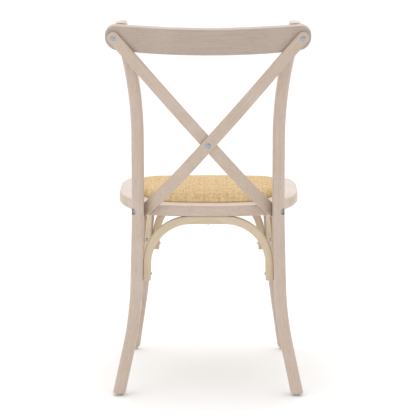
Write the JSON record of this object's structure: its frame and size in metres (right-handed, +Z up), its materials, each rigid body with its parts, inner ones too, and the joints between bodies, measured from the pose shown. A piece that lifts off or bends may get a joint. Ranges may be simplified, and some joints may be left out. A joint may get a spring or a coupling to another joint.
{
  "type": "cross back chair",
  "caption": "Whitewashed wooden dining chair with a bent crest rail, crossed back straps, arched leg braces and a woven rattan seat.",
  "frame": {"origin": "on the floor under the middle of the chair's bounding box", "axes": "+Z up, -Y the way a sitter faces, +X to the sitter's left"},
  "size_m": [0.476, 0.5136, 0.8881],
  "materials": {
    "limed_oak": "whitewashed grain, satin",
    "bent_beech": "pale cream bentwood, satin",
    "strap_wood": "whitewashed bent strip, satin",
    "plywood": "raw birch plywood",
    "rattan": "natural woven rattan skin",
    "dowel_beech": "raw fluted beech",
    "zinc_steel": "bright zinc plate",
    "glide_plastic": "moulded, matt"
  },
  "bodies": {
    "root": {"rear_leg_left": "limed_oak", "rear_leg_right": "limed_oak", "front_leg_left": "limed_oak", "front_leg_right": "limed_oak", "crest_rail": "limed_oak", "cross_strap_outer": "strap_wood", "cross_strap_inner": "strap_wood", "seat_ring": "limed_oak", "seat_board": "plywood", "rattan_seat": "rattan", "rear_arch": "bent_beech", "front_arch": "bent_beech", "side_arch_left": "bent_beech", "side_arch_right": "bent_beech", "crest_strap_screws": "zinc_steel", "cross_rivet": "zinc_steel", "seat_corner_bolts": "zinc_steel", "barrel_nuts": "zinc_steel", "crest_dowels": "dowel_beech", "arch_leg_screws": "zinc_steel", "arch_seat_screws": "zinc_steel", "seat_board_screws": "zinc_steel", "foot_glides": "glide_plastic", "glide_pins": "zinc_steel"}
  },
  "joints": []
}
